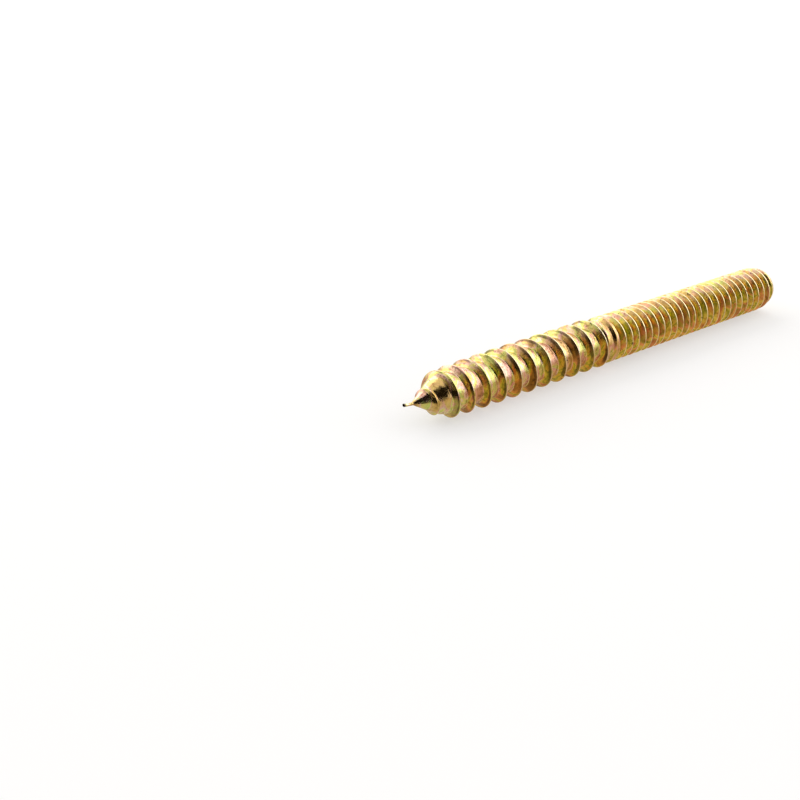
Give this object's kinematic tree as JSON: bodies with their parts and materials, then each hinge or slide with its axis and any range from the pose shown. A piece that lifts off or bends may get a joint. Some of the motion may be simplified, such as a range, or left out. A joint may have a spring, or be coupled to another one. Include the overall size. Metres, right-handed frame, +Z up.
{
  "type": "hanger bolt",
  "caption": "Headless steel stud with a coarse wood thread and a point at one end and a machine thread at the other, yellow zinc plated.",
  "frame": {"origin": "centre of the base of the stud's box as it lies, directly under the middle of its axis", "axes": "+X along the stud from the wood point to the machine end, +Z up from the surface that it lies on"},
  "size_m": [0.067, 0.0066, 0.0066],
  "materials": {
    "plated_steel": "glossy yellow zinc chromate with pink and green tints"
  },
  "bodies": {
    "root": {"hanger_bolt": "plated_steel"}
  },
  "joints": []
}
